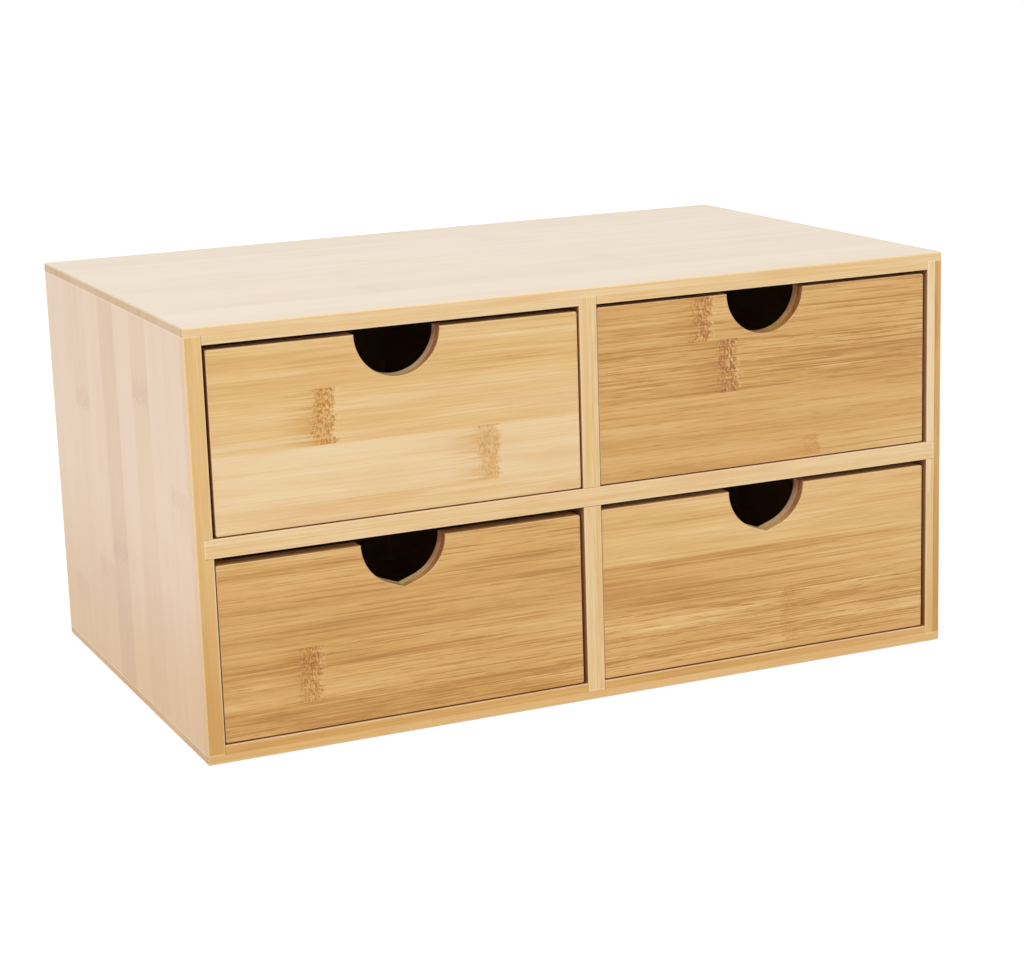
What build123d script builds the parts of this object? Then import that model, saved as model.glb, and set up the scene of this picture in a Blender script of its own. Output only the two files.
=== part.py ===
from build123d import *
from math import acos, cos, sin
import os

# Bamboo desktop cabinet with four small drawers, two above two. Millimetres.
# +X is to the right, +Y to the back and +Z up. The origin is the middle of the cabinet's underside.

# Bays, the four openings that the drawers slide in
bay_w = 154.0  # clear width of one bay
bay_h = 73.5  # clear height of one bay
cabinet_d = 205.0  # front edges to back face

# Boards of the cabinet
cap_t = 7.2  # top and bottom panels
side_t = 7.2  # left and right sides
shelf_t = 7.6
divider_t = 7.6
back_t = 3.0  # thin back panel

# Joints of the cabinet
tongue_t = 3.5  # what stays of the top and bottom panels over the ends of the sides
shelf_housing = 3.5  # how deep the shelf's ends go into the sides
divider_housing = 3.5  # how deep the divider's ends go into the top and bottom panels
back_lap = 3.4  # how far the back panel reaches into its rabbet, all round
shelf_lap = 101.0  # front part of the shelf that runs through; the divider fills the slot behind it
lap_play = 0.1  # free width in the slots where shelf and divider cross

# Eased edges
outer_r = 1.0  # outer edges of the cabinet
arris_r = 0.4  # inner edges that the bays show

# Drawers
drawer_gap = 1.0  # free width each side of a drawer in the middle of its bay
run_gap = 0.3  # running gap under a drawer
setback = 0.8  # drawer fronts stand this far behind the cabinet's front edges
stop_gap = 0.3  # closed drawer to back panel
front_t = 7.5  # drawer front
wall_t = 6.0  # drawer sides
rear_t = 6.0  # drawer back
front_lip = 3.5  # what stays of the front over the ends of the drawer sides
rear_lip = 2.6  # the same at the drawer back
floor_t = 3.0  # drawer bottom
floor_lift = 4.0  # drawer's lower edge to the underside of its bottom
groove_d = 3.0  # groove for the drawer bottom, in all four walls
groove_play = 0.2  # free room of the bottom in its groove
corner_r = 0.8  # corners of the front and back, and the outer long edges of the sides
rim_r = 0.5  # outer edges of front and back, round the finger notch too, and the sides' inner top edges

# Free height over each drawer. The drawers were cut by hand, so it differs.
upper_left_headroom = 2.1
upper_right_headroom = 1.5
lower_left_headroom = 3.1
lower_right_headroom = 2.4

# Where each drawer was last pushed to, sideways from the middle of its bay
upper_left_shift = 0.4
upper_right_shift = -0.6
lower_left_shift = -0.5
lower_right_shift = -0.6

# Finger notches: half discs. On the lower fronts the saw left two straight cuts that meet in a slight point.
notch_r = 17.5
upper_notch_point = 0.0  # how far the point reaches past the disc
lower_notch_point = 1.1

# Worked out from the sizes above
inner_w = 2 * bay_w + divider_t
inner_h = 2 * bay_h + shelf_t
cabinet_w = inner_w + 2 * side_t
cabinet_h = inner_h + 2 * cap_t
front_y = -cabinet_d / 2
back_y = cabinet_d / 2
shelf_z = cap_t + bay_h + shelf_t / 2
board_d = cabinet_d - back_t  # shelf and divider end at the back panel
lap_y = front_y + shelf_lap
front_plane = Plane.XZ.offset(-front_y)  # looks along +Y, local axes X and Z

drawer_w = bay_w - 2 * drawer_gap
drawer_front_y = front_y + setback
drawer_back_y = back_y - back_t - stop_gap
drawer_d = drawer_back_y - drawer_front_y
groove_h = floor_t + groove_play

os.makedirs("parts", exist_ok=True)


def save(builder, name):
    """Labels a finished piece and writes its STEP file."""
    builder.part.label = name
    export_step(builder.part, f"parts/{name}.step")


# Top panel: runs over the ends of both sides on thin tongues, and holds the divider's upper end.
with BuildPart() as top_panel:
    with BuildSketch(front_plane):
        with Locations((0, cabinet_h - cap_t / 2)):
            Rectangle(cabinet_w, cap_t)
    extrude(amount=-cabinet_d)
    upright = top_panel.edges().filter_by(Axis.Z)
    rim = top_panel.faces().sort_by(Axis.Z)[-1].edges()
    fillet(upright + rim, radius=outer_r)
    with BuildSketch(front_plane):
        rabbet_h = cap_t - tongue_t
        with Locations((0, cabinet_h - cap_t + rabbet_h / 2)):
            with GridLocations(cabinet_w - side_t, 0, 2, 1):
                Rectangle(side_t, rabbet_h)
    extrude(amount=-cabinet_d, mode=Mode.SUBTRACT)
    fillet(top_panel.edges().filter_by(Axis.X).group_by(Axis.Z)[0].sort_by(Axis.Y)[0], radius=arris_r)
    with BuildSketch(front_plane):
        with Locations((0, cabinet_h - cap_t + divider_housing / 2)):
            Rectangle(divider_t, divider_housing)
    extrude(amount=-cabinet_d, mode=Mode.SUBTRACT)
    with Locations((0, back_y - back_t / 2, cabinet_h - cap_t + back_lap / 2)):
        Box(inner_w, back_t, back_lap, mode=Mode.SUBTRACT)
save(top_panel, "top_panel")

# Bottom panel: the same board turned over.
with BuildPart() as bottom_panel:
    mirror(top_panel.part, about=Plane.XY.offset(cabinet_h / 2))
save(bottom_panel, "bottom_panel")

# Left side: stands between the tongues, with a groove across it for the shelf.
with BuildPart() as left_side:
    with BuildSketch(Plane.XY.offset(tongue_t)):
        with Locations((-(cabinet_w - side_t) / 2, 0)):
            Rectangle(side_t, cabinet_d)
    extrude(amount=cabinet_h - 2 * tongue_t)
    upright = left_side.edges().filter_by(Axis.Z)
    fillet(upright.group_by(Axis.X)[0], radius=outer_r)
    upright = left_side.edges().filter_by(Axis.Z)
    fillet(upright.group_by(Axis.X)[-1].sort_by(Axis.Y)[0], radius=arris_r)
    with Locations((-(inner_w + shelf_housing) / 2, 0, shelf_z)):
        Box(shelf_housing, cabinet_d, shelf_t, mode=Mode.SUBTRACT)
    with Locations((-(inner_w + back_lap) / 2, back_y - back_t / 2, cabinet_h / 2)):
        Box(back_lap, back_t, cabinet_h, mode=Mode.SUBTRACT)
save(left_side, "left_side")

# Right side: the left side's mirror image.
with BuildPart() as right_side:
    mirror(left_side.part, about=Plane.YZ)
save(right_side, "right_side")

# Shelf: one board from side to side, slotted from behind so that the divider crosses it.
with BuildPart() as shelf:
    with BuildSketch(Plane.XY.offset(shelf_z - shelf_t / 2)):
        with Locations((0, -back_t / 2)):
            Rectangle(inner_w + 2 * shelf_housing, board_d)
        with Locations((0, (lap_y + back_y) / 2)):
            Rectangle(divider_t + lap_play, back_y - lap_y, mode=Mode.SUBTRACT)
    extrude(amount=shelf_t)
    fillet(shelf.edges().filter_by(Axis.X).group_by(Axis.Y)[0], radius=arris_r)
save(shelf, "shelf")

# Divider: one board from bottom to top, slotted from the front over the shelf.
with BuildPart() as divider:
    with BuildSketch(Plane.YZ.offset(-divider_t / 2)):
        with Locations((-back_t / 2, cabinet_h / 2)):
            Rectangle(board_d, inner_h + 2 * divider_housing)
    extrude(amount=divider_t)
    fillet(divider.edges().filter_by(Axis.Z).group_by(Axis.Y)[0], radius=arris_r)
    with Locations((0, front_y + shelf_lap / 2, shelf_z)):
        Box(divider_t, shelf_lap, shelf_t + lap_play, mode=Mode.SUBTRACT)
save(divider, "divider")

# Back panel: a thin board in the rabbet round the back, flush with the back edges.
with BuildPart() as back_panel:
    with BuildSketch(Plane.XZ.offset(-back_y)):
        with Locations((0, cabinet_h / 2)):
            Rectangle(inner_w + 2 * back_lap, inner_h + 2 * back_lap)
    extrude(amount=back_t)
save(back_panel, "back_panel")


def make_drawer(name, column, row, shift, headroom, notch_point):
    """Makes one drawer. column is -1 or 1 for left or right, and row is -1 or 1 for lower or upper."""
    mid_x = column * (bay_w + divider_t) / 2 + shift
    drawer_h = bay_h - headroom - run_gap
    low_z = (cap_t if row < 0 else shelf_z + shelf_t / 2) + run_gap
    mid_z = low_z + drawer_h / 2
    top_z = low_z + drawer_h
    groove_z = low_z + floor_lift + groove_h / 2
    face_plane = Plane.XZ.offset(-drawer_front_y)
    rear_plane = Plane.XZ.offset(-drawer_back_y)

    # Front: rabbeted behind its ends for the sides, with a finger notch in its top edge.
    with BuildPart() as front:
        with BuildSketch(face_plane):
            with Locations((mid_x, mid_z)):
                RectangleRounded(drawer_w, drawer_h, corner_r)
        extrude(amount=-front_t)
        with BuildSketch(face_plane):
            with Locations((mid_x, top_z)):
                Circle(notch_r)
                if notch_point > 0:
                    tip = notch_r + notch_point
                    turn = acos(notch_r / tip)  # from the tip to where a straight cut leaves the disc
                    side, down = notch_r * sin(turn), notch_r * cos(turn)
                    Polygon((0, 0), (-side, -down), (0, -tip), (side, -down), align=None)
        extrude(amount=-front_t, mode=Mode.SUBTRACT)
        fillet(front.faces().sort_by(Axis.Y)[0].edges(), radius=rim_r)
        rabbet_d = front_t - front_lip
        with Locations((mid_x, drawer_front_y + front_t - rabbet_d / 2, mid_z)):
            with GridLocations(drawer_w - wall_t, 0, 2, 1):
                Box(wall_t, rabbet_d, drawer_h, mode=Mode.SUBTRACT)
        with Locations((mid_x, drawer_front_y + front_t - groove_d / 2, groove_z)):
            Box(drawer_w, groove_d, groove_h, mode=Mode.SUBTRACT)
    save(front, f"{name}_drawer_front")

    # Sides: their ends sit in the rabbets of front and back, and their lower edges are the runners.
    wall_d = drawer_d - front_lip - rear_lip
    wall_mid_y = drawer_front_y + front_lip + wall_d / 2
    with BuildPart() as left_wall:
        with BuildSketch(Plane.XZ.offset(-(wall_mid_y - wall_d / 2))):
            with Locations((mid_x - (drawer_w - wall_t) / 2, mid_z)):
                Rectangle(wall_t, drawer_h)
        extrude(amount=-wall_d)
        long_edges = left_wall.edges().filter_by(Axis.Y).group_by(Axis.X)
        fillet(long_edges[0], radius=corner_r)
        fillet(long_edges[-1].sort_by(Axis.Z)[-1], radius=rim_r)
        with Locations((mid_x - drawer_w / 2 + wall_t - groove_d / 2, wall_mid_y, groove_z)):
            Box(groove_d, wall_d, groove_h, mode=Mode.SUBTRACT)
    save(left_wall, f"{name}_drawer_left_wall")

    with BuildPart() as right_wall:
        mirror(left_wall.part, about=Plane.YZ.offset(mid_x))
    save(right_wall, f"{name}_drawer_right_wall")

    # Back: rabbeted like the front, with no notch.
    with BuildPart() as rear:
        with BuildSketch(rear_plane):
            with Locations((mid_x, mid_z)):
                RectangleRounded(drawer_w, drawer_h, corner_r)
        extrude(amount=rear_t)
        fillet(rear.faces().sort_by(Axis.Y)[-1].edges(), radius=rim_r)
        rabbet_d = rear_t - rear_lip
        with Locations((mid_x, drawer_back_y - rear_t + rabbet_d / 2, mid_z)):
            with GridLocations(drawer_w - wall_t, 0, 2, 1):
                Box(wall_t, rabbet_d, drawer_h, mode=Mode.SUBTRACT)
        with Locations((mid_x, drawer_back_y - rear_t + groove_d / 2, groove_z)):
            Box(drawer_w, groove_d, groove_h, mode=Mode.SUBTRACT)
    save(rear, f"{name}_drawer_back")

    # Bottom: a thin board that rests in the grooves of all four walls.
    reach = groove_d - groove_play
    room_d = drawer_d - front_t - rear_t
    with BuildPart() as floor:
        with BuildSketch(Plane.XY.offset(low_z + floor_lift)):
            with Locations((mid_x, drawer_front_y + front_t + room_d / 2)):
                Rectangle(drawer_w - 2 * wall_t + 2 * reach, room_d + 2 * reach)
        extrude(amount=floor_t)
    save(floor, f"{name}_drawer_bottom")


make_drawer("upper_left", -1, 1, upper_left_shift, upper_left_headroom, upper_notch_point)
make_drawer("upper_right", 1, 1, upper_right_shift, upper_right_headroom, upper_notch_point)
make_drawer("lower_left", -1, -1, lower_left_shift, lower_left_headroom, lower_notch_point)
make_drawer("lower_right", 1, -1, lower_right_shift, lower_right_headroom, lower_notch_point)
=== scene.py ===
import math
import random

import bpy
from mathutils import Matrix, Vector


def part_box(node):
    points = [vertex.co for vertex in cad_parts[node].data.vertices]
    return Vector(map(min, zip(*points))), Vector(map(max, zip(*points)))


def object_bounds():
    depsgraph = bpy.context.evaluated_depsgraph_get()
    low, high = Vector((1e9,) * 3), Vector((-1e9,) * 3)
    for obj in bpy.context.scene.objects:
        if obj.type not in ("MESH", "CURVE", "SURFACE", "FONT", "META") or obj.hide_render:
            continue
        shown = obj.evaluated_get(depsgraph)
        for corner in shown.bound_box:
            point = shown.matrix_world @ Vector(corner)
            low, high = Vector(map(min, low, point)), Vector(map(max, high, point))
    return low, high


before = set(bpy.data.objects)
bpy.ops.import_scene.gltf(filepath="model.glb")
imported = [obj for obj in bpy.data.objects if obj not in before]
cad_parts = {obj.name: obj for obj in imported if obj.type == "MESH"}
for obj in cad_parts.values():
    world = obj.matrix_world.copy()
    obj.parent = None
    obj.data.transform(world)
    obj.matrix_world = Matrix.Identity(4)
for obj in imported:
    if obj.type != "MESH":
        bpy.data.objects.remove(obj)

cad_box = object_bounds()


# Bottom panel.
# One board glued up from bamboo strips in two layers, planed and lacquered. It reaches under the ends
# of both sides on thin tongues. What every board is finished with is defined here, with the first one.
RIGHT, LEFT = Vector((1, 0, 0)), Vector((-1, 0, 0))
BACK, FRONT = Vector((0, 1, 0)), Vector((0, -1, 0))
UP, DOWN = Vector((0, 0, 1)), Vector((0, 0, -1))
PER_METRE = 1000.0  # the patterns are worked out in millimetres
STRIP = 22.7  # width of one bamboo strip, mm
LAYER_SHIFT = 8.4  # how far the inner layer's strips lie past the outer layer's, mm
GLUE_LINE = 1.0  # mm

FLOAT, VECTOR, COLOUR = "NodeSocketFloat", "NodeSocketVector", "NodeSocketColor"


def srgb(red, green, blue):
    """A colour given as 0 to 255 on screen, as the linear colour that a shader takes."""
    def linear(value):
        value = value / 255
        return value / 12.92 if value <= 0.04045 else ((value + 0.055) / 1.055) ** 2.4
    return (linear(red), linear(green), linear(blue), 1.0)


def shade(tree, kind, inputs=(), **settings):
    """Adds one shader node. inputs gives sockets, by name or number, a value or another node's output."""
    made = tree.nodes.new("ShaderNode" + kind)
    for name, value in settings.items():
        setattr(made, name, value)
    for socket, value in dict(inputs).items():
        if isinstance(value, bpy.types.NodeSocket):
            tree.links.new(value, made.inputs[socket])
        else:
            made.inputs[socket].default_value = value
    return made


def calc(tree, operation, *values):
    """One Math node on one to three numbers."""
    return shade(tree, "Math", enumerate(values), operation=operation).outputs[0]


def slope(tree, value, start, end, low=0.0, high=1.0):
    """Goes softly from low to high while value goes from start to end, and stays there."""
    inputs = {"Value": value, "From Min": start, "From Max": end, "To Min": low, "To Max": high}
    return shade(tree, "MapRange", inputs, interpolation_type="SMOOTHSTEP").outputs[0]


def stretched_noise(tree, vector, per_mm, detail=2.0, roughness=0.5):
    """Noise from 0 to 1, with its own number of waves per mm along, across and through the board."""
    scaled = shade(tree, "VectorMath", {0: vector, 1: per_mm}, operation="MULTIPLY").outputs[0]
    inputs = {"Vector": scaled, "Scale": 1.0, "Detail": detail, "Roughness": roughness}
    return shade(tree, "TexNoise", inputs).outputs[0]


def blend(tree, share, first, second, way="MIX"):
    """Mixes two colours, or multiplies the first by the second."""
    inputs = {0: share, 6: first, 7: second}
    return shade(tree, "Mix", inputs, data_type="RGBA", blend_type=way).outputs[2]


def new_group(name, inputs, outputs):
    """An empty shader group with those sockets, its input sockets by name, and its output node's."""
    tree = bpy.data.node_groups.new(name, "ShaderNodeTree")
    for socket, kind in inputs.items():
        tree.interface.new_socket(socket, in_out="INPUT", socket_type=kind)
    for socket, kind in outputs.items():
        tree.interface.new_socket(socket, in_out="OUTPUT", socket_type=kind)
    given = tree.nodes.new("NodeGroupInput").outputs
    result = tree.nodes.new("NodeGroupOutput").inputs
    return tree, given, result


def use_group(tree, group, **inputs):
    """Puts a group in a material. An underscore in a socket's name stands for a space."""
    made = tree.nodes.new("ShaderNodeGroup")
    made.node_tree = group
    for name, value in inputs.items():
        socket = made.inputs[name.replace("_", " ")]
        if isinstance(value, bpy.types.NodeSocket):
            tree.links.new(value, socket)
        else:
            socket.default_value = value
    return made.outputs


def build_board_place():
    """Where a point lies in its board, in mm: along the grain, across the strips, and in from its face.
    Also how far the surface there is a sawn end, the board's outer face, its inner face, or an eased
    edge."""
    sockets = {"Corner": VECTOR, "Grain": VECTOR, "Across": VECTOR, "Inward": VECTOR}
    outputs = {"Place": VECTOR, "End Grain": FLOAT, "Outer Face": FLOAT, "Inner Face": FLOAT,
               "Arris": FLOAT}
    tree, given, result = new_group("board_place", sockets, outputs)
    position = shade(tree, "TexCoord").outputs
    inputs = {0: position["Object"], 1: given["Corner"]}
    from_corner = shade(tree, "VectorMath", inputs, operation="SUBTRACT").outputs[0]
    measures = []
    for axis in ("Grain", "Across", "Inward"):
        inputs = {0: from_corner, 1: given[axis]}
        metres = shade(tree, "VectorMath", inputs, operation="DOT_PRODUCT").outputs["Value"]
        measures.append(calc(tree, "MULTIPLY", metres, PER_METRE))
    tree.links.new(shade(tree, "CombineXYZ", enumerate(measures)).outputs[0], result["Place"])

    def facing(axis):
        """1 where the surface faces along that axis, 0 where it lies along it, and -1 the other way."""
        inputs = {0: position["Normal"], 1: given[axis]}
        return shade(tree, "VectorMath", inputs, operation="DOT_PRODUCT").outputs["Value"]

    end_on = calc(tree, "ABSOLUTE", facing("Grain"))
    tree.links.new(slope(tree, end_on, 0.3, 0.95), result["End Grain"])
    faces_in = facing("Inward")
    tree.links.new(slope(tree, faces_in, -0.5, -0.95), result["Outer Face"])
    tree.links.new(slope(tree, faces_in, 0.5, 0.95), result["Inner Face"])
    tilted = calc(tree, "ABSOLUTE", faces_in)
    eased = calc(tree, "MULTIPLY", slope(tree, tilted, 0.1, 0.4), slope(tree, tilted, 0.98, 0.86))
    tree.links.new(eased, result["Arris"])
    return tree


def build_knuckle():
    """The mark that a joint of the cane leaves across a strip: a stain that fades to the left, dark broken
    fibres in it, and pale ones at its sharp right end. A turned one fades to the right."""
    sockets = {"Place": VECTOR, "Knuckle": FLOAT, "Turned": FLOAT}
    outputs = {"Stain": FLOAT, "Dashes": FLOAT, "Flecks": FLOAT}
    tree, given, result = new_group("knuckle", sockets, outputs)
    ragged_by = 6.0  # how far the fibres' ends lie before or past each other at most, mm
    ragged = stretched_noise(tree, given["Place"], (0.03, 0.30, 0.30), detail=4.0, roughness=0.75)
    ragged = calc(tree, "MULTIPLY_ADD", ragged, 2 * ragged_by, -ragged_by)

    # How far a point lies past the knuckle, towards the mark's sharp end, in mm.
    along = shade(tree, "SeparateXYZ", {0: given["Place"]}).outputs["X"]
    way = calc(tree, "MULTIPLY_ADD", given["Turned"], -2.0, 1.0)
    past = calc(tree, "MULTIPLY_ADD", calc(tree, "SUBTRACT", along, given["Knuckle"]), way, ragged)

    # The stain is a blotchy patch at the knuckle and single fibres that fade out further off.
    blotches = stretched_noise(tree, given["Place"], (0.22, 0.5, 0.5))
    blotches = slope(tree, blotches, 0.3, 0.6, 0.5, 1.0)
    patch = calc(tree, "MULTIPLY", slope(tree, past, -6.0, -2.0), blotches)
    fibres = stretched_noise(tree, given["Place"], (0.04, 1.0, 1.0), detail=3.0, roughness=0.6)
    fibres = slope(tree, fibres, 0.40, 0.62, 0.1, 0.9)
    fading = calc(tree, "MULTIPLY", slope(tree, past, -22.0, -3.0), fibres)
    sharp_end = slope(tree, past, 4.6, 2.8)
    stain = calc(tree, "MULTIPLY", calc(tree, "MAXIMUM", patch, fading), sharp_end)
    tree.links.new(stain, result["Stain"])

    # One noise gives the dark dashes where it is high and the pale flecks where it is low.
    specks = stretched_noise(tree, given["Place"], (1.35, 0.75, 0.75), detail=3.0, roughness=0.65)
    dense = calc(tree, "MULTIPLY", slope(tree, past, -8.0, -1.5), slope(tree, past, 5.2, 3.4))
    tree.links.new(calc(tree, "MULTIPLY", slope(tree, specks, 0.49, 0.60), dense), result["Dashes"])
    beside = calc(tree, "MULTIPLY", slope(tree, past, -6.0, 2.0), slope(tree, past, 7.5, 5.0))
    tree.links.new(calc(tree, "MULTIPLY", slope(tree, specks, 0.48, 0.38), beside), result["Flecks"])
    return tree


CARAMEL, HONEY = srgb(176, 121, 45), srgb(206, 157, 81)
STRAW, CREAM = srgb(223, 184, 120), srgb(235, 208, 165)
BLUSH = srgb(215, 153, 88)  # faint redder stretches in every cane
STAIN, DASH = srgb(231, 204, 132), srgb(214, 187, 124)  # what a knuckle multiplies the strip's colour by
FLECK = srgb(238, 204, 146)


def build_bamboo(knuckle_group):
    """Colour, roughness and relief of a bamboo strip. Tone 0 is the darkest caramel and 1 the palest
    cream, and Streaks is how strongly its fibres show. Seed and Knuckle together choose the cane."""
    sockets = {"Place": VECTOR, "Seed": FLOAT, "Tone": FLOAT, "Streaks": FLOAT, "Knuckle": FLOAT,
               "Knuckle Strength": FLOAT, "Knuckle Turned": FLOAT}
    outputs = {"Colour": COLOUR, "Roughness": FLOAT, "Height": FLOAT}
    tree, given, result = new_group("bamboo", sockets, outputs)

    # Each strip is cut from another cane, so its fibres are another part of the pattern.
    inputs = {"X": given["Seed"], "Y": given["Knuckle"]}
    own = shade(tree, "CombineXYZ", inputs).outputs[0]
    cane = shade(tree, "TexWhiteNoise", {"Vector": own}, noise_dimensions="3D").outputs["Color"]
    far = shade(tree, "VectorMath", {0: cane, 1: (900.0, 0.0, 400.0)}, operation="MULTIPLY").outputs[0]
    local = shade(tree, "VectorMath", {0: given["Place"], 1: far}, operation="ADD").outputs[0]

    # The fibres wander sideways by up to a millimetre.
    drift = stretched_noise(tree, local, (0.009, 0.05, 0.05))
    sway = shade(tree, "CombineXYZ", {"Y": calc(tree, "MULTIPLY_ADD", drift, 2.0, -1.0)}).outputs[0]
    swayed = shade(tree, "VectorMath", {0: local, 1: sway}, operation="ADD").outputs[0]

    # Long fibres, shorter ones, broader bands, dark lines that run on from a knuckle, and pores.
    fibres = stretched_noise(tree, swayed, (0.008, 1.25, 1.25), detail=4.0, roughness=0.65)
    short = stretched_noise(tree, swayed, (0.050, 1.50, 1.50), detail=3.0, roughness=0.6)
    bands = stretched_noise(tree, swayed, (0.009, 0.17, 0.17), detail=3.0)
    lines = stretched_noise(tree, swayed, (0.014, 1.10, 1.10), roughness=0.6)
    pores = stretched_noise(tree, swayed, (0.090, 2.20, 2.20))
    along = shade(tree, "SeparateXYZ", {0: given["Place"]}).outputs["X"]
    past = calc(tree, "SUBTRACT", along, given["Knuckle"])
    trail = slope(tree, past, 0.0, 30.0, 0.35, 1.0)
    dark_lines = calc(tree, "MULTIPLY", slope(tree, lines, 0.54, 0.68), trail)
    dark_lines = calc(tree, "MULTIPLY_ADD", slope(tree, pores, 0.57, 0.70), 0.7, dark_lines)
    dark_lines = calc(tree, "MULTIPLY", dark_lines, given["Streaks"])

    # Every noise is 0.5 in the mean, so taking off half of all shares leaves the strip's own tone.
    fibre_share, short_share, band_share = 0.85, 0.5, 0.7
    mean = (fibre_share + short_share + band_share) / 2
    uneven = calc(tree, "MULTIPLY_ADD", fibres, fibre_share, -mean)
    uneven = calc(tree, "MULTIPLY_ADD", bands, band_share, uneven)
    uneven = calc(tree, "MULTIPLY_ADD", short, short_share, uneven)
    contrast = calc(tree, "MULTIPLY_ADD", given["Streaks"], 1.5, 0.5)
    tone = calc(tree, "MULTIPLY_ADD", uneven, contrast, given["Tone"])
    tone = calc(tree, "SUBTRACT", tone, calc(tree, "MULTIPLY", dark_lines, 0.85))

    ramp = shade(tree, "ValToRGB", {"Fac": tone})
    shades = ramp.color_ramp.elements
    shades[0].color = CARAMEL
    shades[1].color = CREAM
    shades.new(0.35).color = HONEY
    shades.new(0.70).color = STRAW
    blush = stretched_noise(tree, local, (0.016, 0.09, 0.09))
    blush = slope(tree, blush, 0.45, 0.75, 0.0, 0.3)
    colour = blend(tree, blush, ramp.outputs["Color"], BLUSH)

    far_along = shade(tree, "SeparateXYZ", {0: far}).outputs["X"]
    local_knuckle = calc(tree, "ADD", given["Knuckle"], far_along)
    mark = use_group(tree, knuckle_group, Place=local, Knuckle=local_knuckle,
                     Turned=given["Knuckle Turned"])
    strength = given["Knuckle Strength"]
    crisp = calc(tree, "MULTIPLY", strength, strength)  # a faint mark is soft too
    stain = calc(tree, "MULTIPLY", mark["Stain"], strength)
    colour = blend(tree, stain, colour, STAIN, "MULTIPLY")
    dashes = calc(tree, "MULTIPLY", mark["Dashes"], crisp)
    colour = blend(tree, dashes, colour, DASH, "MULTIPLY")
    flecks = calc(tree, "MULTIPLY", calc(tree, "MULTIPLY", mark["Flecks"], crisp), 0.55)
    colour = blend(tree, flecks, colour, FLECK)

    tree.links.new(colour, result["Colour"])
    tree.links.new(calc(tree, "MULTIPLY_ADD", fibres, 0.16, 0.34), result["Roughness"])
    relief = 0.02  # how far fibres stand out and dashes lie deeper, mm
    height = calc(tree, "MULTIPLY_ADD", dashes, -relief, calc(tree, "MULTIPLY", fibres, relief))
    tree.links.new(height, result["Height"])
    return tree


def build_edge_highlight():
    """1 on a board's eased edges, where a patchy painted highlight lies, and 0 away from them."""
    sockets = {"Place": VECTOR, "Size": VECTOR, "Reach": FLOAT}
    tree, given, result = new_group("edge_highlight_group", sockets, {"Highlight": FLOAT})
    inputs = {0: given["Size"], 1: given["Place"]}
    rest = shade(tree, "VectorMath", inputs, operation="SUBTRACT").outputs[0]
    inputs = {0: given["Place"], 1: rest}
    nearest = shade(tree, "VectorMath", inputs, operation="MINIMUM").outputs[0]
    along, across, through = shade(tree, "SeparateXYZ", {0: nearest}).outputs
    # Of the three ways to the board's faces the shortest is nothing, and the middle one is to the edge.
    longer = calc(tree, "MINIMUM", calc(tree, "MAXIMUM", along, across), through)
    to_edge = calc(tree, "MAXIMUM", calc(tree, "MINIMUM", along, across), longer)
    patchy = stretched_noise(tree, given["Place"], (0.05, 0.05, 0.05))
    reach = calc(tree, "MULTIPLY", given["Reach"], calc(tree, "MULTIPLY_ADD", patchy, 1.2, 0.4))
    share = calc(tree, "DIVIDE", to_edge, reach)
    tree.links.new(slope(tree, share, 1.0, 0.3), result["Highlight"])
    return tree


board_place = build_board_place()
bamboo = build_bamboo(build_knuckle())
edge_highlight_group = build_edge_highlight()


def cane_strip(edge, tone, knuckle, strength=0.0, turned=0, streaks=0.0, lean=0.0):
    """One strip of a board: the place of its edge across the board and of its knuckle along the grain in
    mm, that knuckle's strength, and whether its mark is turned. streaks is how strongly its fibres show,
    and lean how much paler it gets over its length. Where a strip shows no knuckle, the knuckle's place
    still chooses its cane."""
    return {"edge": edge, "tone": tone, "knuckle": knuckle, "strength": strength, "turned": turned,
            "streaks": streaks, "lean": lean}


def plain_strips(seed, width, length, tone, spread=0.12, first=None, knuckles=0.7, front_tones=()):
    """Strips for a board of which no strip is known: like in kind, and different from board to board. The
    outer layer's first glue line lies at first in mm, or anywhere, and knuckles is how strong the
    strongest knuckle is. front_tones are the tones of the strips that show as the outer and inner layers'
    front edges."""
    chance = random.Random(seed)
    edge = -chance.uniform(0, STRIP) if first is None else first - STRIP
    strips = []
    while edge < width:
        plain_edge = first is not None and edge <= first  # what shows as a front edge has no knuckle
        strips.append(cane_strip(edge, tone + chance.uniform(-spread, spread),
                                 knuckle=chance.uniform(0.05, 0.95) * length,
                                 strength=0.0 if plain_edge else knuckles * chance.choice((0.0, 0.5, 1.0)),
                                 turned=chance.choice((0.0, 1.0)),
                                 streaks=chance.uniform(0.0, 0.3),
                                 lean=chance.uniform(-0.1, 0.1)))
        edge += STRIP
    for strip, shown in zip(strips, front_tones):
        strip["tone"] = shown
    return strips


def read_strips(tree, across, width, strips, columns, glue_line=0.0):
    """Gives a point the numbers of the strip that it lies in: a ramp with one flat step for each strip, and
    a glue line of that width between them where they go over into each other."""
    share = shade(tree, "MapRange", {"Value": across, "From Max": width}).outputs[0]
    ramp = shade(tree, "ValToRGB", {"Fac": share})
    steps = ramp.color_ramp
    steps.interpolation = "LINEAR" if glue_line else "CONSTANT"
    steps.elements.remove(steps.elements[1])
    for number, strip in enumerate(strips):
        if number == 0:
            step = steps.elements[0]
            step.position = 0.0
        else:
            if glue_line:
                last = steps.elements.new((strip["edge"] - glue_line / 2) / width)
                last.color = step.color
            step = steps.elements.new((strip["edge"] + glue_line / 2) / width)
        step.color = [strip[column] for column in columns] + [1.0]
    return shade(tree, "SeparateColor", {0: ramp.outputs["Color"]}).outputs


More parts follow.
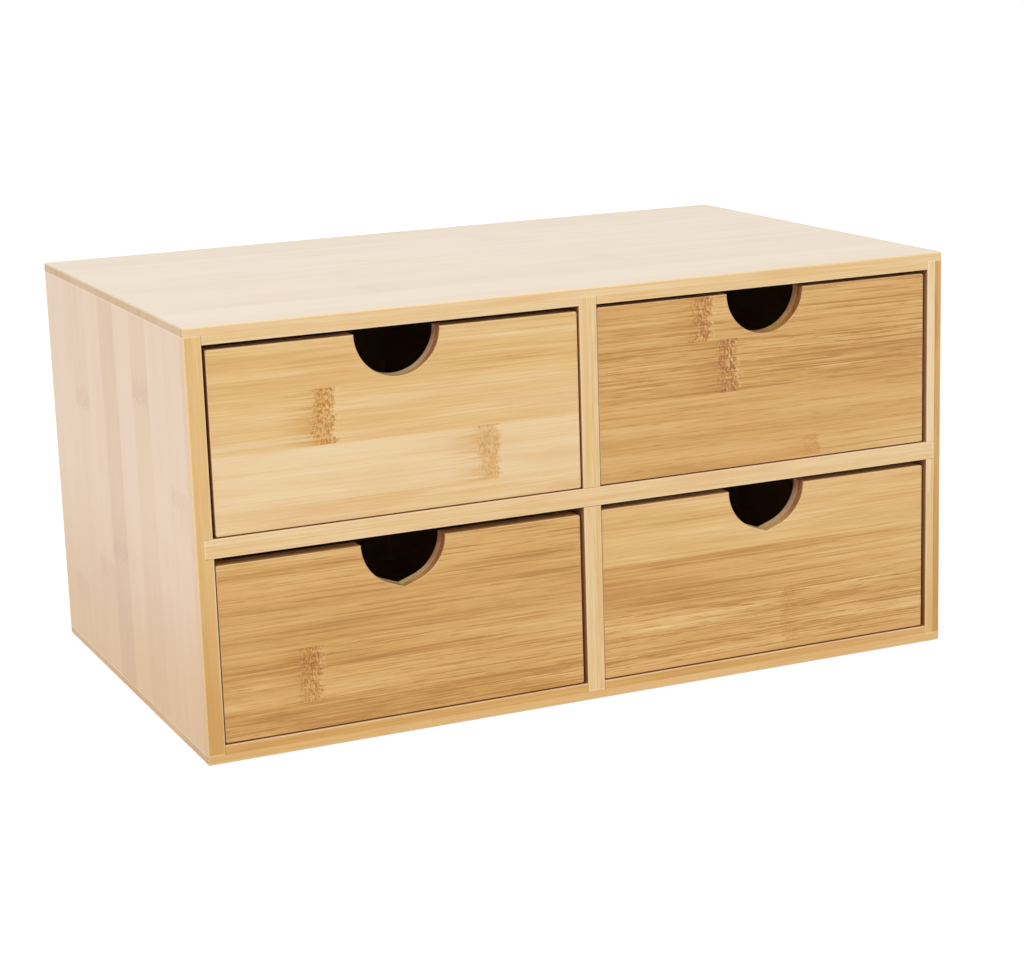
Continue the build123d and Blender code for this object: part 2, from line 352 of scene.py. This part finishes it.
UNTONED = (srgb(0, 0, 0), 0.0)
BAY_SHADE = srgb(150, 76, 24)  # painted shade on the faces inside the bays, which lie in shadow
SAWN = srgb(224, 208, 198)  # what sawn ends are darkened with, because they drink more lacquer
FOOT_SHADE = srgb(236, 220, 178)  # painted shade towards a board's foot, where less light falls
EDGE_HIGHLIGHT = srgb(250, 227, 190)  # painted highlight along a board's edges, where light catches them
EDGE_HIGHLIGHT_SHARE = 0.45  # how much of it shows along an edge
SEED_STEP = 1.7  # sets apart the canes of boards with names of different length


def lay_up(node, grain, across, inward, strips, layer=None, inner_tone=0.0, outer_face=UNTONED,
           inner_face=UNTONED, sawn=(SAWN, SAWN), shade_to_foot=0.0, coat=0.45, dull=0.0, highlight_reach=0.7, eased=0.4):
    """Gives a board its bamboo. grain is the way its fibres run, across the way its strips lie side by
    side, and inward leads from its outer face through its layers. layer is the outer layer's thickness in
    mm, half the board's unless it is given, and inner_tone is how much paler the inner layer is.
    outer_face and inner_face are the colours that those faces are toned with, and how strongly: painted
    sheen on outer faces that reflect the bright room, and painted shade on faces inside the bays. sawn are
    the sawn ends' colours in the outer and inner layer, and yellowed is how much painted shade darkens and
    warms the board towards the start of its grain, where less light falls. coat is how much lacquer it has,
    dull how much rougher it is than planed bamboo, wear how far in from its edges a painted highlight
    reaches in mm, and eased how strong the painted highlight on its rounded edges is."""
    low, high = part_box(node)
    # The corner that all three ways lead away from.
    corner = [low[i] if (grain + across + inward)[i] > 0 else high[i] for i in range(3)]
    size = [abs((high - low).dot(axis)) * PER_METRE for axis in (grain, across, inward)]
    length, width, thickness = size
    material = bpy.data.materials.new(node + "_bamboo")
    material.use_nodes = True
    tree = material.node_tree
    surface = tree.nodes["Principled BSDF"]

    # A ramp holds numbers from 0 to 1, so knuckles go in as shares of the length, and leans half up.
    where = use_group(tree, board_place, Corner=corner, Grain=grain, Across=across, Inward=inward)
    along_across_in = shade(tree, "SeparateXYZ", {0: where["Place"]}).outputs
    inner = calc(tree, "GREATER_THAN", along_across_in["Z"], layer or thickness / 2)
    offset = calc(tree, "MULTIPLY_ADD", inner, LAYER_SHIFT, along_across_in["Y"])
    reach = width + LAYER_SHIFT
    half_up = 0.5
    scaled = [{**strip, "knuckle": strip["knuckle"] / length, "lean": strip["lean"] + half_up}
              for strip in strips]
    knuckle_strength_turned = read_strips(tree, offset, reach, scaled, ("knuckle", "strength", "turned"))
    tone_streaks_lean = read_strips(tree, offset, reach, scaled, ("tone", "streaks", "lean"), GLUE_LINE)
    from_middle = calc(tree, "SUBTRACT", calc(tree, "DIVIDE", along_across_in["X"], length), 0.5)
    lean = calc(tree, "SUBTRACT", tone_streaks_lean["Blue"], half_up)
    own_tone = calc(tree, "ADD", tone_streaks_lean["Red"], calc(tree, "MULTIPLY", from_middle, lean))
    own_tone = calc(tree, "MULTIPLY_ADD", inner, inner_tone, own_tone)

    off_the_edge = slope(tree, along_across_in["Y"], 0.5, 1.5)  # no knuckle shows on a front edge
    wood = use_group(tree, bamboo, Place=where["Place"],
                     Seed=calc(tree, "ADD", inner, len(node) * SEED_STEP),
                     Tone=own_tone, Streaks=tone_streaks_lean["Green"],
                     Knuckle=calc(tree, "MULTIPLY", knuckle_strength_turned["Red"], length),
                     Knuckle_Strength=calc(tree, "MULTIPLY", knuckle_strength_turned["Green"], off_the_edge),
                     Knuckle_Turned=knuckle_strength_turned["Blue"])
    colour = wood["Colour"]
    # Painted sheen on outer faces that reflect the bright room, and painted shade on faces inside the bays.
    for face, (toner, share) in (("Outer Face", outer_face), ("Inner Face", inner_face)):
        if share > 0:
            colour = blend(tree, calc(tree, "MULTIPLY", where[face], share), colour, toner)
    # Painted shade: darker and warmer towards the board's foot, where less light falls.
    if shade_to_foot:
        near_foot = slope(tree, along_across_in["X"], 0.55 * length, 0.05 * length, 0.0, shade_to_foot)
        colour = blend(tree, near_foot, colour, FOOT_SHADE, "MULTIPLY")

    # Sawn ends show the fibres as dots, and drink more lacquer, so they are darker and duller.
    dots = stretched_noise(tree, where["Place"], (0.2, 2.6, 2.6), detail=1.0)
    ends = calc(tree, "MULTIPLY", where["End Grain"], slope(tree, dots, 0.35, 0.65, 0.55, 1.0))
    colour = blend(tree, ends, colour, blend(tree, inner, *sawn), "MULTIPLY")
    # Painted highlight where light catches the edges: a patchy band along each edge, and a line on the eased
    # arrises.
    highlit = use_group(tree, edge_highlight_group, Place=where["Place"], Size=size, Reach=highlight_reach)["Highlight"]
    highlit = calc(tree, "MULTIPLY", highlit, EDGE_HIGHLIGHT_SHARE)
    rounded = calc(tree, "MULTIPLY", where["Arris"], eased)
    colour = blend(tree, calc(tree, "MAXIMUM", highlit, rounded), colour, EDGE_HIGHLIGHT)
    tree.links.new(colour, surface.inputs["Base Color"])
    duller = calc(tree, "MULTIPLY_ADD", where["End Grain"], 0.15, dull)
    tree.links.new(calc(tree, "ADD", wood["Roughness"], duller), surface.inputs["Roughness"])
    surface.inputs["Coat Weight"].default_value = coat
    surface.inputs["Coat Roughness"].default_value = 0.28
    bump = shade(tree, "Bump", {"Height": wood["Height"], "Distance": 1 / PER_METRE, "Strength": 1.0})
    tree.links.new(bump.outputs[0], surface.inputs["Normal"])
    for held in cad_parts[node].material_slots:
        held.material = material


cabinet_low, cabinet_high = (Vector(corner) * PER_METRE for corner in cad_box)
cabinet_w, cabinet_d, cabinet_h = cabinet_high - cabinet_low
bottom_strips = plain_strips("bottom_panel", cabinet_d, cabinet_w, tone=0.68, first=11.0)
# Its inner face, inside the bays, carries painted shade.
lay_up("bottom_panel", RIGHT, BACK, UP, bottom_strips, inner_tone=-0.22, inner_face=(BAY_SHADE, 0.7))


# Left and right sides.
# Upright boards between the tongues of top and bottom, glued up like them, with their strips standing on
# end. On the left one the strips and the cane's knuckles lie as they show.
SIDE_SHEEN = srgb(229, 194, 166)  # painted sheen on the sides' outer faces from the bright room, weaker than the top's
left_strips = [
    cane_strip(0.0, 0.64, 60.0, streaks=0.06),
    cane_strip(4.6, 0.86, 97.0, strength=0.6, lean=0.1),
    cane_strip(27.4, 0.94, 74.0, strength=0.2, lean=0.2),
    cane_strip(50.2, 0.66, 130.0, strength=0.9, turned=1, streaks=0.06),
    cane_strip(73.2, 0.94, 57.0, strength=0.2, lean=0.1),
    cane_strip(96.0, 0.38, 56.0, strength=1.0, turned=1, streaks=0.12, lean=0.1),
    cane_strip(118.8, 0.86, 44.0, strength=0.7, lean=0.1),
    cane_strip(141.4, 0.78, 113.0, strength=0.9, turned=1, streaks=0.06),
    cane_strip(164.1, 0.86, 26.0, strength=0.6, lean=0.1),
    cane_strip(186.8, 0.84, 80.0, lean=0.1),
]
# Both sides carry painted sheen on their outer faces, and painted shade inside the bays and towards their
# foot.
lay_up("left_side", UP, BACK, RIGHT, left_strips, inner_tone=-0.2, outer_face=(SIDE_SHEEN, 0.6),
       inner_face=(BAY_SHADE, 0.7), shade_to_foot=1.0)
right_strips = plain_strips("right_side", cabinet_d, cabinet_h, tone=0.82, first=5.0, front_tones=(0.4, 1.0))
lay_up("right_side", UP, BACK, LEFT, right_strips, outer_face=(SIDE_SHEEN, 0.6), inner_face=(BAY_SHADE, 0.7),
       shade_to_foot=1.0)


# Shelf and divider.
# Two boards that make the four bays. The shelf runs from side to side and the divider from bottom to
# top, slotted into each other, with their ends let into grooves.
shelf_strips = plain_strips("shelf", cabinet_d, cabinet_w, tone=0.76, first=9.0)
# Both faces of the shelf and of the divider lie inside the bays and carry painted shade.
lay_up("shelf", RIGHT, BACK, DOWN, shelf_strips, inner_tone=-0.05, outer_face=(BAY_SHADE, 0.7),
       inner_face=(BAY_SHADE, 0.7))
divider_strips = plain_strips("divider", cabinet_d, cabinet_h, tone=0.78, first=7.0)
lay_up("divider", UP, BACK, RIGHT, divider_strips, inner_tone=0.03, outer_face=(BAY_SHADE, 0.7),
       inner_face=(BAY_SHADE, 0.7))


# Top panel.
# The bottom panel's twin, glued over the ends of both sides, and the palest board of the cabinet, partly
# through the painted sheen on its outer face. Its strips run from side to side.
PALE_SHEEN = srgb(243, 229, 210)  # painted sheen on outer faces, where they reflect the bright room
top_strips = plain_strips("top_panel", cabinet_d, cabinet_w, tone=0.86, spread=0.08, first=13.0, knuckles=0.4)
lay_up("top_panel", RIGHT, BACK, DOWN, top_strips, inner_tone=-0.04, outer_face=(PALE_SHEEN, 0.6),
       inner_face=(BAY_SHADE, 0.7))


# Back panel.
# A thin bamboo board in one layer, glued into a rabbet round the back, and less finely finished than
# the rest.
low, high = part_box("back_panel")
back_w, back_t, back_h = (high - low) * PER_METRE
back_strips = plain_strips("back_panel", back_h, back_w, tone=0.6, spread=0.15)
# A little painted sheen on its outer face, and painted shade on its inner face.
lay_up("back_panel", RIGHT, UP, FRONT, back_strips, layer=back_t, outer_face=(PALE_SHEEN, 0.1),
       inner_face=(BAY_SHADE, 0.3), coat=0.1, dull=0.15)


# Drawer boxes.
# Walls, backs and bottoms are plain bamboo boards, glued into rabbets and grooves and left with one
# thin coat. The walls' grain runs front to back, and the others' from side to side.
drawers = ("upper_left_drawer", "upper_right_drawer", "lower_left_drawer", "lower_right_drawer")
DUSTY = srgb(226, 208, 178)  # the drawers' inside, bare and paler
for drawer in drawers:
    for board, grain, across, inward in (
        ("left_wall", BACK, UP, RIGHT),
        ("right_wall", BACK, UP, LEFT),
        ("back", RIGHT, UP, FRONT),
        ("bottom", RIGHT, BACK, UP),
    ):
        node = f"{drawer}_{board}"
        low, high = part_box(node)
        length, width = (abs((high - low).dot(axis)) * PER_METRE for axis in (grain, across))
        strips = plain_strips(node, width, length, tone=0.55, spread=0.15)
        lay_up(node, grain, across, inward, strips, inner_face=(DUSTY, 0.4), coat=0.1, dull=0.12, highlight_reach=0.5)


# Drawer fronts.
# Each is sawn from its own board, so each has its own strips, tone and knuckles. Edges are measured from
# the front's lower edge and knuckles from its left end. The finger notch is sawn and sanded through it.
front_strips = {
    "upper_left_drawer": [
        cane_strip(0.0, 0.80, 20.0, streaks=0.1, lean=0.05),
        cane_strip(8.5, 0.90, 112.8, strength=0.7),
        cane_strip(30.3, 0.71, 45.0, strength=1.0, streaks=0.13, lean=0.05),
        cane_strip(52.1, 0.62, 8.0, streaks=0.2, lean=0.05),
    ],
    "upper_right_drawer": [
        cane_strip(0.0, 0.44, 97.7, strength=0.5, streaks=0.35, lean=0.1),
        cane_strip(9.6, 0.40, 150.0, streaks=0.32),
        cane_strip(31.5, 0.33, 58.4, strength=1.0, streaks=0.7),
        cane_strip(53.4, 0.40, 47.0, strength=1.0, streaks=0.5, lean=0.1),
    ],
    "lower_left_drawer": [
        cane_strip(0.0, 0.30, 60.0, streaks=0.9, lean=0.05),
        cane_strip(11.2, 0.45, 35.8, strength=0.9, streaks=0.5, lean=0.05),
        cane_strip(33.1, 0.33, 10.0, streaks=0.32),
        cane_strip(53.1, 0.40, 30.0, streaks=0.38),
    ],
    "lower_right_drawer": [
        cane_strip(0.0, 0.50, 86.6, strength=0.2, turned=1, streaks=0.15),
        cane_strip(2.6, 0.44, 86.6, strength=0.4, turned=1, streaks=1.0),
        cane_strip(26.0, 0.38, 5.0, streaks=0.4, lean=0.3),
        cane_strip(46.4, 0.60, 12.0, streaks=0.22),
    ],
}
NOTCH_OUTSIDE, NOTCH_INSIDE = srgb(182, 128, 92), srgb(226, 202, 220)  # the notch's sawn walls, by layer
for drawer in drawers:
    lay_up(f"{drawer}_front", RIGHT, UP, BACK, front_strips[drawer], inner_tone=0.35,
           sawn=(NOTCH_OUTSIDE, NOTCH_INSIDE), highlight_reach=0.5, eased=0.15)


# Floor.
# A plain white floor that the cabinet stands on. The camera sees it as white, with the cabinet's shadow.
floor_reach = 12.0
floor_z = -0.0002  # just under the cabinet, clear of its underside
floor_corners = [(-floor_reach, -floor_reach, floor_z), (floor_reach, -floor_reach, floor_z),
                 (floor_reach, floor_reach, floor_z), (-floor_reach, floor_reach, floor_z)]
floor_mesh = bpy.data.meshes.new("floor")
floor_mesh.from_pydata(floor_corners, [], [(0, 1, 2, 3)])
floor = bpy.data.objects.new("floor", floor_mesh)
bpy.context.scene.collection.objects.link(floor)


def seen_directly(tree):
    """1 for what the camera sees, straight, in a gloss or through something, and 0 for light that falls
    on the object."""
    rays = shade(tree, "LightPath").outputs
    straight = calc(tree, "MAXIMUM", rays["Is Camera Ray"], rays["Is Glossy Ray"])
    return calc(tree, "MAXIMUM", straight, rays["Is Transmission Ray"])


WHITE = (1.0, 1.0, 1.0, 1.0)
paper = bpy.data.materials.new("floor_paper")
paper.use_nodes = True
tree = paper.node_tree
surface = tree.nodes["Principled BSDF"]
surface.inputs["Base Color"].default_value = srgb(232, 232, 232)
surface.inputs["Roughness"].default_value = 1.0
surface.inputs["Specular IOR Level"].default_value = 0.0
surface.inputs["Emission Color"].default_value = WHITE
lift = 0.54  # what the camera sees on top of the light that the floor gets
tree.links.new(calc(tree, "MULTIPLY", seen_directly(tree), lift), surface.inputs["Emission Strength"])
floor_mesh.materials.append(paper)


# Lamps and world.
# One large soft lamp in front, to the left and above, a weaker one on the right, and an even pale room.
def soft_lamp(name, place, size, power):
    """A square lamp that looks at the cabinet's middle. Its place and size are in metres."""
    lamp = bpy.data.lights.new(name, "AREA")
    lamp.size = size
    lamp.energy = power
    held = bpy.data.objects.new(name, lamp)
    bpy.context.scene.collection.objects.link(held)
    away = Vector(place) - Vector((0, 0, cabinet_h / PER_METRE / 2))
    held.matrix_world = Matrix.Translation(place) @ away.to_track_quat("Z", "Y").to_matrix().to_4x4()


soft_lamp("key_lamp", place=(-1.3, -1.6, 2.0), size=1.4, power=32.0)
soft_lamp("fill_lamp", place=(1.8, -1.8, 0.9), size=1.6, power=8.0)

world = bpy.data.worlds.new("pale_room")
world.use_nodes = True
bpy.context.scene.world = world
tree = world.node_tree
room_light = 0.62  # what falls on the object, while the camera sees the room as white
strength = calc(tree, "MULTIPLY_ADD", seen_directly(tree), 1.0 - room_light, room_light)
tree.links.new(strength, tree.nodes["Background"].inputs["Strength"])
tree.nodes["Background"].inputs["Color"].default_value = WHITE


# Camera.
# It looks from the front left and a little above, turned and tilted as the view was fitted.
azimuth, elevation, roll = (math.radians(angle) for angle in (-23.954, 13.253, -1.837))
camera_place = Vector((-0.42107, -0.97167, 0.31803))
backward = Vector((math.sin(azimuth) * math.cos(elevation), -math.cos(azimuth) * math.cos(elevation),
                   math.sin(elevation)))
level_right = (-backward).cross(UP).normalized()
level_up = level_right.cross(-backward)
right = level_right * math.cos(roll) + level_up * math.sin(roll)
upward = level_up * math.cos(roll) - level_right * math.sin(roll)
lens = bpy.data.cameras.new("camera")
lens.sensor_fit = "HORIZONTAL"
lens.sensor_width = 36.0
lens.lens = 87.491
lens.clip_start = 0.01
camera = bpy.data.objects.new("camera", lens)
bpy.context.scene.collection.objects.link(camera)
turned = Matrix((right, upward, backward)).transposed().to_4x4()
camera.matrix_world = Matrix.Translation(camera_place) @ turned
bpy.context.scene.camera = camera
bpy.context.scene.view_settings.view_transform = "Standard"
